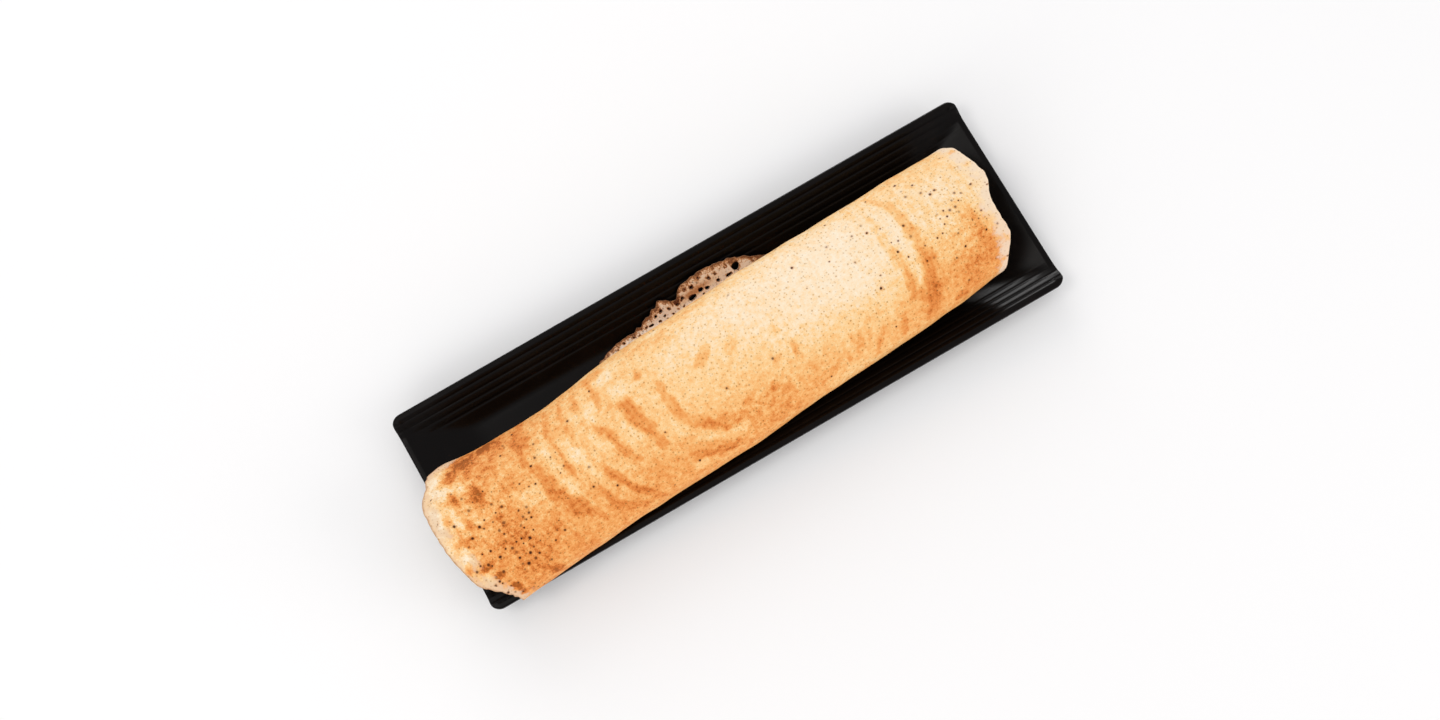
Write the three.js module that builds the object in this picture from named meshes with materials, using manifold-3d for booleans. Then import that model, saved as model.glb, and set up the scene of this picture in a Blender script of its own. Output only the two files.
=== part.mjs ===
// A masala dosa: a thin crisp crepe rolled into a long loose tube, lying in a black trough-shaped
// melamine platter. Millimetres, +X along the platter, +Y to its far side, +Z up.
// The origin is the middle of the bottom of the whole thing's bounding box.
import * as THREE from 'three';
import { mergeVertices } from 'three/addons/utils/BufferGeometryUtils.js';
import Module from 'manifold-3d';

// The platter: long side walls that are steep and grooved, end walls that are shallow and lower.
const platter = {
  length: 382,
  width: 128.8,
  height: 23,
  cornerRadius: 6.5,
  lipWidth: 3.3,
  lipRound: 1.2,
  floorTop: 6.5,
  longWallRun: 24.5,
  endWallRun: 36,
  endRimDrop: 5.5,
  wallBlend: 1.6,
  floorBlend: 1,
  thickness: 3.4,
};
const groove = { first: 5.4, pitch: 3.85, count: 4, halfWidth: 0.95, depth: 0.55 };
const foot = { endInset: 40, sideInset: 28, width: 4, draft: 1 };

// The crepe, before it is rolled, is a disc. Bumps and notches of its edge, anticlockwise from the
// right end in degrees: where it is, how far it spreads, and how much it adds to the radius.
const crepe = {
  radius: 184,
  thickness: 1.8,
  layerGap: 1,
  clearance: 0.45,
  wallClearance: 1.2,
  lipClearance: 0.7,
  drape: 0.6,
};
const edgeBumps = [
  { at: 4, spread: 22, adds: 3.5 },
  { at: 0.5, spread: 3.2, adds: 4.5 },
  { at: -7.5, spread: 2.6, adds: 3 },
  { at: -3.5, spread: 2.2, adds: 2.3 },
  { at: 5.5, spread: 2.5, adds: -0.8 },
  { at: 13, spread: 2.8, adds: 2.8 },
  { at: 78, spread: 14, adds: 8.5 },
  { at: 88.1, spread: 1.3, adds: -4.5 },
  { at: 90.5, spread: 1.6, adds: 1.8 },
  { at: 97, spread: 2.5, adds: -1.2 },
  { at: 102, spread: 3, adds: 1.3 },
  { at: 160, spread: 6, adds: -8 },
  { at: 167, spread: 2, adds: 1.2 },
  { at: 173, spread: 8.5, adds: 1.8 },
  { at: 180, spread: 28, adds: -4 },
  { at: 187, spread: 2.8, adds: -4.2 },
  { at: 197, spread: 6.5, adds: -25 },
];
const edgeWave = { height: 1.3, reach: 26, length: 31, second: 17 };

// The roll: its middle line across the platter, and its half width, half height and sideways shift
// at stations evenly spaced along it, from the left end to the right.
const roll = {
  middleX: -14,
  middleY: -13,
  turn: THREE.MathUtils.degToRad(3.68),
  firstStation: -190,
  stationStep: 47.5,
  halfWidth: [51.1, 44.1, 42.2, 44, 44.6, 44.2, 43.2, 42.3, 40.7],
  halfHeight: [25, 25.2, 25.6, 26, 26.4, 26.4, 26, 25.4, 25],
  shift: [3.7, 0.5, -0.2, 1.5, 0.9, 1.7, 0.5, 0.4, -0.1],
  lowerPower: 2.5,
  discMiddleAngle: -0.32,
  inwardPerRadian: 0.8,
};

// The filled middle of the roll, with rounded ends. Beyond it the rolled ends are empty.
const filling = { halfLength: 94, domeLength: 20, stations: 17, domeSteps: 4, around: 36 };

// How finely the disc is cut across the roll: steps between the given places on its middle line.
const discSteps = [
  { upTo: -110, steps: 7 },
  { upTo: 115, steps: 34 },
  { upTo: crepe.radius, steps: 9 },
];
const stepsAlong = 46;
const faceGap = 1e-6;

const smoothStep = (t) => t * t * (3 - 2 * t);
const clamp = THREE.MathUtils.clamp;

// The larger of two heights, with the crease between them rounded over the given size.
function softMax(a, b, size) {
  const t = (a - b) / size;
  if (t > 6) {
    return a;
  }
  return b + size * Math.log1p(Math.exp(t));
}

// The platter's upper face, from the distances in from its long edge and its end edge.
function platterTopAt(fromLong, fromEnd, grooved) {
  const { height, lipWidth, floorTop, longWallRun, endWallRun, endRimDrop } = platter;
  const longSlope = (height - floorTop) / (longWallRun - lipWidth);
  const endRim = height - endRimDrop;
  const endSlope = (endRim - floorTop) / (endWallRun - lipWidth);
  let longWall = height - longSlope * Math.max(fromLong - lipWidth, 0);
  if (grooved) {
    for (let i = 0; i < groove.count; i += 1) {
      const away = Math.abs(fromLong - groove.first - i * groove.pitch);
      longWall -= groove.depth * Math.max(0, 1 - away / groove.halfWidth);
    }
  }
  const endWall = endRim - endSlope * Math.max(fromEnd - lipWidth, 0);
  return softMax(softMax(longWall, endWall, platter.wallBlend), floorTop, platter.floorBlend);
}

// How low the crepe may lie, a little clear of the floor and more so of the walls and the lip.
function restingHeight(x, y) {
  const fromLong = platter.width / 2 - Math.abs(y) - crepe.wallClearance;
  const top = platterTopAt(fromLong, platter.length / 2 - Math.abs(x), false);
  const rise = (top - platter.floorTop) / (platter.height - platter.floorTop);
  return top + crepe.clearance + rise * crepe.lipClearance;
}

// How far the outer edge of the lip is rounded down, from the distance in from the nearest edge.
function lipRounding(fromEdge) {
  const t = clamp(1 - fromEdge / platter.lipRound, 0, 1);
  return platter.lipRound * (1 - Math.sqrt(1 - t * t));
}

// The platter's under face, with a foot ring that reaches down to zero.
function platterUnderside(x, y, fromLong, fromEnd) {
  const shell = platterTopAt(fromLong, fromEnd, false) - platter.thickness;
  const outside = Math.max(
    Math.abs(x) - platter.length / 2 + foot.endInset,
    Math.abs(y) - platter.width / 2 + foot.sideInset,
  );
  const middle = outside + foot.width / 2;
  const away = Math.abs(middle) - foot.width / 2;
  return shell * clamp(away / foot.draft, 0, 1);
}

// Grid lines across half of the platter, as distances in from its edge.
function gridFromEdge(wallLines, inset) {
  const ring = [inset - foot.draft, inset, inset + foot.width, inset + foot.width + foot.draft];
  return [0, platter.lipRound * 0.35, platter.lipRound, platter.lipWidth, ...wallLines, ...ring];
}

function longWallLines() {
  const lines = [];
  for (let i = 0; i < groove.count; i += 1) {
    const middle = groove.first + i * groove.pitch;
    lines.push(middle - groove.halfWidth, middle, middle + groove.halfWidth);
  }
  lines.push(platter.longWallRun - 2, platter.longWallRun, platter.longWallRun + 1.8);
  return lines;
}

function endWallLines() {
  const { cornerRadius, endWallRun } = platter;
  return [cornerRadius, 13, 22, 31, endWallRun, endWallRun + 3];
}

function mirroredLines(fromEdge, size) {
  const low = fromEdge.map((d) => d - size / 2);
  return [...low, ...low.map((v) => -v).reverse()];
}

// Draws the square corners of the grid in to the platter's rounded corners.
function roundCorner(x, y) {
  const r = platter.cornerRadius;
  const qx = Math.abs(x) - (platter.length / 2 - r);
  const qy = Math.abs(y) - (platter.width / 2 - r);
  if (qx <= 0 || qy <= 0) {
    return [x, y];
  }
  const k = Math.max(qx, qy) / Math.hypot(qx, qy);
  return [Math.sign(x) * (platter.length / 2 - r + qx * k), Math.sign(y) * (platter.width / 2 - r + qy * k)];
}

// Joins an upper and a lower sheet of the same rows and columns of points into one closed body.
function closedSheet(upper, lower, rows, columns) {
  const index = [];
  const lowerStart = rows * columns;
  const quad = (a, b, c, d) => index.push(a, b, c, a, c, d);
  for (let i = 0; i + 1 < rows; i += 1) {
    for (let j = 0; j + 1 < columns; j += 1) {
      const a = i * columns + j;
      const b = a + columns;
      quad(a, b, b + 1, a + 1);
      quad(lowerStart + a, lowerStart + a + 1, lowerStart + b + 1, lowerStart + b);
    }
  }
  const rim = [];
  for (let i = 0; i < rows; i += 1) {
    rim.push(i * columns);
  }
  for (let j = 1; j < columns; j += 1) {
    rim.push((rows - 1) * columns + j);
  }
  for (let i = rows - 2; i >= 0; i -= 1) {
    rim.push(i * columns + columns - 1);
  }
  for (let j = columns - 2; j > 0; j -= 1) {
    rim.push(j);
  }
  rim.forEach((a, k) => {
    const b = rim[(k + 1) % rim.length];
    quad(a, lowerStart + a, lowerStart + b, b);
  });
  const geometry = new THREE.BufferGeometry();
  geometry.setAttribute('position', new THREE.Float32BufferAttribute([...upper, ...lower], 3));
  geometry.setIndex(index);
  return geometry;
}

function platterGeometry() {
  const xs = mirroredLines(gridFromEdge(endWallLines(), foot.endInset), platter.length);
  const ys = mirroredLines(gridFromEdge(longWallLines(), foot.sideInset), platter.width);
  const upper = [];
  const lower = [];
  for (const gridX of xs) {
    for (const gridY of ys) {
      const fromEnd = platter.length / 2 - Math.abs(gridX);
      const fromLong = platter.width / 2 - Math.abs(gridY);
      const [x, y] = roundCorner(gridX, gridY);
      const rounding = lipRounding(Math.min(fromEnd, fromLong));
      upper.push(x, y, platterTopAt(fromLong, fromEnd, true) - rounding);
      lower.push(x, y, platterUnderside(gridX, gridY, fromLong, fromEnd));
    }
  }
  return closedSheet(upper, lower, xs.length, ys.length);
}

// A value between evenly spaced stations along the roll, on a smooth curve through them.
function alongRoll(values, u) {
  const t = clamp((u - roll.firstStation) / roll.stationStep, 0, values.length - 1.001);
  const i = Math.floor(t);
  const f = t - i;
  const at = (k) => values[clamp(k, 0, values.length - 1)];
  const [a, b, c, d] = [at(i - 1), at(i), at(i + 1), at(i + 2)];
  return b + 0.5 * f * (c - a + f * (2 * a - 5 * b + 4 * c - d + f * (3 * (b - c) + d - a)));
}

// A point of the roll's oval section. The angle is zero on top and grows to the near side.
function ovalPoint(angle, halfWidth, halfHeight) {
  const power = 2 / roll.lowerPower;
  const sine = Math.sin(angle);
  const cosine = Math.cos(angle);
  if (cosine >= 0) {
    return [-halfWidth * sine, halfHeight * cosine];
  }
  const across = Math.sign(sine) * Math.abs(sine) ** power;
  return [-halfWidth * across, -halfHeight * Math.abs(cosine) ** power];
}

// How far the wound crepe lies inside its outer turn: it slips in under itself down the far side.
function windingInset(angle) {
  const slip = smoothStep(clamp((-Math.PI / 2 - angle) / (Math.PI / 2), 0, 1));
  const inward = Math.max(-Math.PI - angle, 0) * roll.inwardPerRadian;
  return slip * (crepe.thickness + crepe.layerGap) + inward;
}

// Arc length round the wound section against angle, from the disc's middle line.
function windingTable() {
  const count = 2400;
  const start = -2.6 * Math.PI;
  const table = { angle: [], arc: [] };
  let last = null;
  let arc = 0;
  for (let i = 0; i <= count; i += 1) {
    const angle = start + ((Math.PI - start) * i) / count;
    const inset = windingInset(angle);
    const point = ovalPoint(angle, 44 - inset, 26 - inset);
    if (last) {
      arc += Math.hypot(point[0] - last[0], point[1] - last[1]);
    }
    table.angle.push(angle);
    table.arc.push(arc);
    last = point;
  }
  const middle = table.arc[table.angle.findIndex((angle) => angle >= roll.discMiddleAngle)];
  table.arc = table.arc.map((value) => value - middle);
  return table;
}

const winding = windingTable();
const arcAtBottom = winding.arc[winding.arc.length - 1];

function angleAtArc(arc) {
  let low = 0;
  let high = winding.arc.length - 1;
  while (high - low > 1) {
    const middle = (low + high) >> 1;
    if (winding.arc[middle] > arc) {
      high = middle;
    } else {
      low = middle;
    }
  }
  const f = clamp((arc - winding.arc[low]) / (winding.arc[high] - winding.arc[low]), 0, 1);
  return winding.angle[low] + f * (winding.angle[high] - winding.angle[low]);
}

// From along and across the roll, and a height above its middle, to the platter's directions.
function rollPoint(u, across, up) {
  const side = across + alongRoll(roll.shift, u);
  const middleHeight = platter.floorTop + crepe.clearance + alongRoll(roll.halfHeight, u);
  return new THREE.Vector3(
    roll.middleX + u * Math.cos(roll.turn) - side * Math.sin(roll.turn),
    roll.middleY + u * Math.sin(roll.turn) + side * Math.cos(roll.turn),
    middleHeight + up,
  );
}

// Where a point of the oval lands, raised clear of the platter by as much as the outer turn needs.
function restingPoint(u, angle, inset, beyondBottom) {
  const halfWidth = alongRoll(roll.halfWidth, u);
  const halfHeight = alongRoll(roll.halfHeight, u);
  const outer = ovalPoint(angle, halfWidth, halfHeight);
  const own = ovalPoint(angle, halfWidth - inset, halfHeight - inset);
  const touch = rollPoint(u, outer[0] + beyondBottom, outer[1]);
  const lowest = restingHeight(touch.x, touch.y);
  const point = rollPoint(u, own[0] + beyondBottom, own[1]);
  point.z += softMax(lowest, touch.z, crepe.drape) - touch.z;
  return point;
}

// The outer face of the rolled crepe, from a place on the flat disc.
function outerFace(u, v) {
  const angle = angleAtArc(Math.min(v, arcAtBottom));
  return restingPoint(u, angle, windingInset(angle), Math.max(v - arcAtBottom, 0));
}

function discRadius(angle) {
  const degrees = THREE.MathUtils.radToDeg(angle);
  let radius = crepe.radius;
  for (const bump of edgeBumps) {
    const away = THREE.MathUtils.euclideanModulo(degrees - bump.at + 180, 360) - 180;
    radius += bump.adds * Math.exp(-((away / bump.spread) ** 2));
  }
  return radius;
}

// The crisp edge curls in by a few waves.
function edgeCurl(u, v, radius) {
  const fade = smoothStep(clamp(1 - (radius - Math.hypot(u, v)) / edgeWave.reach, 0, 1));
  const along = Math.atan2(v, u) * radius;
  const wave = Math.sin(along / edgeWave.length) + Math.sin(along / edgeWave.second + 1);
  return edgeWave.height * fade * (1 + wave / 2);
}

// The two faces of the crepe at a place on the flat disc.
function crepeFaces(u, v) {
  const radius = discRadius(Math.atan2(v, u));
  const step = 0.4;
  const point = outerFace(u, v);
  const along = outerFace(u + step, v).sub(outerFace(u - step, v));
  const across = outerFace(u, v + step).sub(outerFace(u, v - step));
  const inward = along.cross(across).normalize();
  const outer = point.clone().addScaledVector(inward, edgeCurl(u, v, radius));
  return [outer, outer.clone().addScaledVector(inward, crepe.thickness)];
}

// Places across the disc's middle line, as shares of its radius from -1 to 1.
function discColumns() {
  const columns = [-1];
  let from = -crepe.radius;
  for (const part of discSteps) {
    for (let i = 1; i <= part.steps; i += 1) {
      columns.push((from + ((part.upTo - from) * i) / part.steps) / crepe.radius);
    }
    from = part.upTo;
  }
  return columns;
}

function crepeGeometry() {
  const columns = discColumns();
  const outer = [];
  const inner = [];
  for (const q of columns) {
    for (let i = 0; i <= stepsAlong; i += 1) {
      const p = (2 * i) / stepsAlong - 1;
      const x = p * Math.sqrt(1 - (q * q) / 2);
      const y = q * Math.sqrt(1 - (p * p) / 2);
      const radius = discRadius(Math.atan2(y, x));
      const [low, high] = crepeFaces(x * radius, y * radius);
      outer.push(...low.toArray());
      inner.push(...high.toArray());
    }
  }
  return closedSheet(outer, inner, columns.length, stepsAlong + 1);
}

// One closed ring of the filled middle, half the crepe's thickness inside its outer turn.
function fillingRing(u, share) {
  const ring = [];
  const middle = rollPoint(u, 0, 0);
  for (let i = 0; i <= filling.around; i += 1) {
    const angle = -Math.PI + (2 * Math.PI * i) / filling.around;
    const inset = windingInset(angle) + crepe.thickness / 2;
    ring.push(restingPoint(u, angle, inset, 0).lerp(middle, 1 - share));
  }
  return ring;
}

function fillingRings() {
  const rings = [];
  for (let k = filling.domeSteps - 1; k > 0; k -= 1) {
    const t = (Math.PI / 2) * (k / filling.domeSteps);
    rings.push(fillingRing(-filling.halfLength - filling.domeLength * Math.sin(t), Math.cos(t)));
  }
  for (let i = 0; i < filling.stations; i += 1) {
    rings.push(fillingRing(filling.halfLength * ((2 * i) / (filling.stations - 1) - 1), 1));
  }
  for (let k = 1; k < filling.domeSteps; k += 1) {
    const t = (Math.PI / 2) * (k / filling.domeSteps);
    rings.push(fillingRing(filling.halfLength + filling.domeLength * Math.sin(t), Math.cos(t)));
  }
  return rings;
}

function fillingGeometry() {
  const rings = fillingRings();
  const around = filling.around + 1;
  const reach = filling.halfLength + filling.domeLength;
  const points = rings.flat();
  const firstTip = points.push(rollPoint(-reach, 0, 0)) - 1;
  const lastTip = points.push(rollPoint(reach, 0, 0)) - 1;
  const index = [];
  for (let j = 0; j < around; j += 1) {
    const next = (j + 1) % around;
    for (let i = 0; i + 1 < rings.length; i += 1) {
      const a = i * around;
      const b = a + around;
      index.push(a + j, a + next, b + next, a + j, b + next, b + j);
    }
    const last = (rings.length - 1) * around;
    index.push(firstTip, next, j, lastTip, last + j, last + next);
  }
  const geometry = new THREE.BufferGeometry();
  geometry.setAttribute('position', new THREE.Float32BufferAttribute(points.flatMap((p) => p.toArray()), 3));
  geometry.setIndex(index);
  return geometry;
}

const wasm = await Module();
wasm.setup();

function toManifold(geometry) {
  const merged = mergeVertices(geometry, faceGap);
  const vertProperties = new Float32Array(merged.attributes.position.array);
  const triVerts = new Uint32Array(merged.index.array);
  return new wasm.Manifold(new wasm.Mesh({ numProp: 3, vertProperties, triVerts }));
}

function toGeometry(solid) {
  const mesh = solid.getMesh();
  const geometry = new THREE.BufferGeometry();
  geometry.setAttribute('position', new THREE.BufferAttribute(new Float32Array(mesh.vertProperties), 3));
  geometry.setIndex(new THREE.BufferAttribute(new Uint32Array(mesh.triVerts), 1));
  return geometry;
}

function makePlatter() {
  const material = new THREE.MeshStandardMaterial({ color: 0x15110f, roughness: 0.32, metalness: 0 });
  const mesh = new THREE.Mesh(platterGeometry(), material);
  mesh.name = 'plate';
  return mesh;
}

function makeDosa() {
  const rolled = toManifold(crepeGeometry()).add(toManifold(fillingGeometry()));
  const material = new THREE.MeshStandardMaterial({ color: 0xe0a15c, roughness: 0.6, metalness: 0 });
  const mesh = new THREE.Mesh(toGeometry(rolled), material);
  mesh.name = 'dosa';
  return mesh;
}

const group = new THREE.Group();
group.add(makePlatter(), makeDosa());
const bounds = new THREE.Box3().setFromObject(group);
const middle = bounds.getCenter(new THREE.Vector3());
group.position.set(-middle.x, -middle.y, -bounds.min.z);
group.updateMatrixWorld(true);

export default group;
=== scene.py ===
import bpy
import numpy as np
from mathutils import Matrix, Vector


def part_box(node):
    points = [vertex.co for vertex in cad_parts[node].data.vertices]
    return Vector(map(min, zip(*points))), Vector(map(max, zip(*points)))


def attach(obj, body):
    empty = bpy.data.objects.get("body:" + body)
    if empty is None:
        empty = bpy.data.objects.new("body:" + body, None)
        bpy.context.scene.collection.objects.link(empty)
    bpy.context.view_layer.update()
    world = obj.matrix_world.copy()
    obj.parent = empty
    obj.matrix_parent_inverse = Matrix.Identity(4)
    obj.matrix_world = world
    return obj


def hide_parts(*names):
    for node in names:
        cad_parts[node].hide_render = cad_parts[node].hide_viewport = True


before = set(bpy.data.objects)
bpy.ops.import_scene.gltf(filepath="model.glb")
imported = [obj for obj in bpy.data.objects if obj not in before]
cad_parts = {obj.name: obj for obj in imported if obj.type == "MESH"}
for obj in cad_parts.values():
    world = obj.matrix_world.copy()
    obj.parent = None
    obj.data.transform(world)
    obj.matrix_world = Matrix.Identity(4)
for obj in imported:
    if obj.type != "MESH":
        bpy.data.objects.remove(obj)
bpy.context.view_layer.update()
print("frame loaded")


# a colour of the paint chart in the linear numbers that shaders take, by the standard sRGB curve
def paint(red, green, blue):
    shares = [c / 255 for c in (red, green, blue)]
    linear = [c / 12.92 if c <= 0.04045 else ((c + 0.055) / 1.055) ** 2.4 for c in shares]
    return (*linear, 1.0)


# the same colour, lighter or darker
def scaled(colour, times):
    return (*(c * times for c in colour[:3]), 1.0)


# the paints of a dictionary's colour list, as a ramp's stops
def rampOf(colours):
    return [(at, paint(*colour)) for at, colour in colours]


# a shader socket that takes part in plain arithmetic, from either side of the sign
class Wire:
    def __init__(self, finish, socket):
        self.finish = finish
        self.socket = socket

    def maths(self, operation, first, second):
        return self.finish.node("ShaderNodeMath", {"operation": operation}, {0: first, 1: second})

    def __add__(self, other):
        return self.maths("ADD", self, other)

    def __sub__(self, other):
        return self.maths("SUBTRACT", self, other)

    def __rsub__(self, other):
        return self.maths("SUBTRACT", other, self)

    def __mul__(self, other):
        return self.maths("MULTIPLY", self, other)

    def __truediv__(self, other):
        return self.maths("DIVIDE", self, other)

    def __rtruediv__(self, other):
        return self.maths("DIVIDE", other, self)

    def __lt__(self, other):
        return self.maths("LESS_THAN", self, other)

    def __gt__(self, other):
        return self.maths("GREATER_THAN", self, other)

    __radd__ = __add__
    __rmul__ = __mul__


class Finish:
    def __init__(self, name):
        self.material = bpy.data.materials.new(name)
        self.material.use_nodes = True
        self.tree = self.material.node_tree
        self.tree.nodes.clear()

    # every node is made here: its type, its settings, then the values or links of its sockets
    def node(self, kind, settings=None, sockets=None, output=0):
        made = self.tree.nodes.new(kind)
        for key, value in (settings or {}).items():
            if key == "stops":
                for _ in value[2:]:
                    made.color_ramp.elements.new(0.5)
                for stop, (position, colour) in zip(made.color_ramp.elements, value):
                    stop.position = position
                    stop.color = colour
            else:
                setattr(made, key, value)
        for key, value in (sockets or {}).items():
            if isinstance(value, Wire):
                self.tree.links.new(value.socket, made.inputs[key])
            else:
                made.inputs[key].default_value = value
        return Wire(self, made.outputs[output]) if len(made.outputs) else None

    def painted(self, name, output="Fac"):
        return self.node("ShaderNodeAttribute", {"attribute_name": name}, output=output)

    def noise(self, where, scale, detail=2.0, roughness=0.5):
        values = {"Vector": where, "Scale": scale, "Detail": detail, "Roughness": roughness}
        return self.node("ShaderNodeTexNoise", None, values)

    # 0 below the low value and 1 above the high one, with a smooth step between them
    def ease(self, value, low, high):
        values = {0: value, 1: low, 2: high}
        return self.node("ShaderNodeMapRange", {"interpolation_type": "SMOOTHSTEP"}, values)

    def blend(self, share, first, second):
        return self.node("ShaderNodeMix", {"data_type": "RGBA"}, {0: share, 6: first, 7: second}, 2)

    def ramp(self, share, stops):
        return self.node("ShaderNodeValToRGB", {"stops": stops}, {0: share})

    # Round dots in a share of the cells, from 0 between them to 1 in their middles. The smallest is
    # 0.4 of the given size, and the faintest 0.3 of full strength.
    def dots(self, where, scale, size, amount):
        cells = {"Vector": where, "Scale": scale, "Randomness": 1.0}
        flat = {"voronoi_dimensions": "2D"}
        away = self.node("ShaderNodeTexVoronoi", flat, cells, "Distance")
        chance = self.node("ShaderNodeTexVoronoi", flat, cells, "Color")
        luck, growth, depth = [self.node("ShaderNodeSeparateColor", None, {0: chance}, k) for k in range(3)]
        inside = 1 - away / ((0.4 + 0.6 * growth) * size)
        return self.ease(inside, 0.0, 0.6) * (luck < amount) * (0.3 + 0.7 * depth)

    def relief(self, height, depth, strength):
        return self.node("ShaderNodeBump", None, {"Height": height, "Distance": depth, "Strength": strength})

    def surface(self, colour, rough, shine, normal=None):
        values = {"Base Color": colour, "Roughness": rough, "Specular IOR Level": shine}
        if normal is not None:
            values["Normal"] = normal
        shader = self.node("ShaderNodeBsdfPrincipled", None, values)
        self.node("ShaderNodeOutputMaterial", None, {"Surface": shader})
        return self.material


def smoothStep(t):
    t = np.clip(t, 0, 1)
    return t * t * (3 - 2 * t)


# the larger of two heights, with the crease between them rounded over the given size
def softMax(a, b, size):
    return b + size * np.logaddexp(0, (a - b) / size)


# a mesh from points in millimetres, smooth except at edges that turn by more than the given angle
def makePiece(name, points, faces, materials, faceMaterial=None, sharp=50):
    mesh = bpy.data.meshes.new(name)
    mesh.from_pydata((np.asarray(points) * 0.001).tolist(), [], faces)
    mesh.update()
    mesh.polygons.foreach_set("use_smooth", np.ones(len(mesh.polygons), bool))
    mesh.set_sharp_from_angle(angle=np.radians(sharp))
    for material in materials:
        mesh.materials.append(material)
    if faceMaterial is not None:
        mesh.polygons.foreach_set("material_index", np.asarray(faceMaterial, np.int32))
    piece = bpy.data.objects.new(name, mesh)
    bpy.context.collection.objects.link(piece)
    return piece


# The platter, in millimetres: steep grooved walls along its sides, shallow lower ones at its ends.
platter = {
    "length": 382.0,
    "width": 128.8,
    "height": 23.0,
    "cornerRadius": 6.5,
    "lipWidth": 3.3,
    "lipRound": 1.2,
    "floorTop": 6.5,
    "longWallRun": 24.5,
    "endWallRun": 36.0,
    "endRimDrop": 5.5,
    "wallBlend": 1.6,
    "floorBlend": 1.0,
    "thickness": 3.4,
    "grooveFirst": 5.4,
    "groovePitch": 3.85,
    "grooveCount": 4,
    "grooveHalfWidth": 0.95,
    "grooveDepth": 0.55,
    "footEndInset": 40.0,
    "footSideInset": 28.0,
    "footWidth": 4.0,
    "footDraft": 1.0,
    # grid lines in from each edge: the lip's, then steps down the wall and over the floor
    "lipLines": [0, 0.08, 0.25, 0.5, 0.85, 1.2, 1.8, 2.5, 2.9, 3.3, 3.8],
    "wallLinesFrom": 4.4,
    "wallLinesPast": 6.0,
    "groovedStep": 0.5,
    "plainStep": 1.1,
    "floorLinesFrom": 4.0,
    "floorStep": 5.0,
    "sharpAngle": 40,
    "colour": (8, 5, 4),
    "wornTimes": 1.9,
    "cloudScale": 38.0,
    "speckScale": 900.0,
    "roughness": 0.3,
    "scuffing": 0.1,
    "speckling": 0.05,
    "grain": 0.00003,
    "shine": 0.1,
}
plateLow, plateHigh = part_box("plate")
platterMiddle = (plateLow + plateHigh) * 500  # of its box, in millimetres
dishPlace = np.array((platterMiddle.x, platterMiddle.y, 0.0))


# the platter's upper face, from the distances in from its long edge and its end edge
def platterTopAt(fromLong, fromEnd, grooved):
    p = platter
    longSlope = (p["height"] - p["floorTop"]) / (p["longWallRun"] - p["lipWidth"])
    endRim = p["height"] - p["endRimDrop"]
    endSlope = (endRim - p["floorTop"]) / (p["endWallRun"] - p["lipWidth"])
    longWall = p["height"] - longSlope * np.maximum(fromLong - p["lipWidth"], 0)
    if grooved:
        for i in range(p["grooveCount"]):
            away = np.abs(fromLong - p["grooveFirst"] - i * p["groovePitch"]) / p["grooveHalfWidth"]
            longWall = longWall - p["grooveDepth"] * (1 - smoothStep(away))
    endWall = endRim - endSlope * np.maximum(fromEnd - p["lipWidth"], 0)
    return softMax(softMax(longWall, endWall, p["wallBlend"]), p["floorTop"], p["floorBlend"])


def lipRounding(fromEdge):
    t = np.clip(1 - fromEdge / platter["lipRound"], 0, 1)
    return platter["lipRound"] * (1 - np.sqrt(1 - t * t))


# the platter's under face, with a foot ring that reaches down to zero
def platterUnderside(x, y, fromLong, fromEnd):
    p = platter
    shell = platterTopAt(fromLong, fromEnd, False) - p["thickness"]
    outside = np.maximum(
        np.abs(x) - p["length"] / 2 + p["footEndInset"],
        np.abs(y) - p["width"] / 2 + p["footSideInset"],
    )
    away = np.abs(outside + p["footWidth"] / 2) - p["footWidth"] / 2
    return shell * np.clip(away / p["footDraft"], 0, 1)


# grid lines from one edge of the platter to the other, fine at its lip, grooves and creases
def platterLines(size, wallRun, footInset, wallStep):
    p = platter
    wall = np.arange(p["wallLinesFrom"], wallRun + p["wallLinesPast"], wallStep)
    footEnd = footInset + p["footWidth"]
    foot = [footInset - p["footDraft"], footInset, footEnd, footEnd + p["footDraft"]]
    lines = sorted(p["lipLines"] + list(wall) + foot)
    floor = np.arange(max(lines) + p["floorLinesFrom"], size / 2, p["floorStep"])
    half = np.array(lines + list(floor)) - size / 2
    return np.concatenate([half, -half[::-1]])


# the square corners of the grid are drawn in to the platter's rounded corners
def roundCorner(x, y):
    p, r = platter, platter["cornerRadius"]
    qx = np.maximum(np.abs(x) - (p["length"] / 2 - r), 0)
    qy = np.maximum(np.abs(y) - (p["width"] / 2 - r), 0)
    k = np.maximum(qx, qy) / np.maximum(np.hypot(qx, qy), 1e-9)
    k = np.where((qx > 0) & (qy > 0), k, 1)
    newX = np.where(k < 1, np.sign(x) * (p["length"] / 2 - r + qx * k), x)
    newY = np.where(k < 1, np.sign(y) * (p["width"] / 2 - r + qy * k), y)
    return newX, newY


# the numbers of the points round the rim of a grid, in order
def rimOf(rows, columns):
    index = np.arange(rows * columns).reshape(rows, columns)
    return np.concatenate([index[:, 0], index[-1, 1:], index[-2::-1, -1], index[0, -2:0:-1]])


# the four-sided faces of a grid
def quadsOf(rows, columns):
    index = np.arange(rows * columns).reshape(rows, columns)
    a, b, c, d = index[:-1, :-1], index[1:, :-1], index[1:, 1:], index[:-1, 1:]
    return np.stack([a.ravel(), b.ravel(), c.ravel(), d.ravel()], 1)


def blackMelamine():
    f = Finish("blackMelamine")
    where = f.node("ShaderNodeTexCoord", None, None, "Object")
    cloud = f.noise(where, platter["cloudScale"], 4.0, 0.6)
    speck = f.noise(where, platter["speckScale"])
    base = paint(*platter["colour"])
    colour = f.blend(f.ease(cloud, 0.45, 0.8), base, scaled(base, platter["wornTimes"]))
    rough = platter["roughness"] + platter["scuffing"] * (cloud - 0.5) + platter["speckling"] * (speck - 0.5)
    return f.surface(colour, rough, platter["shine"], f.relief(speck, platter["grain"], 0.5))


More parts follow.
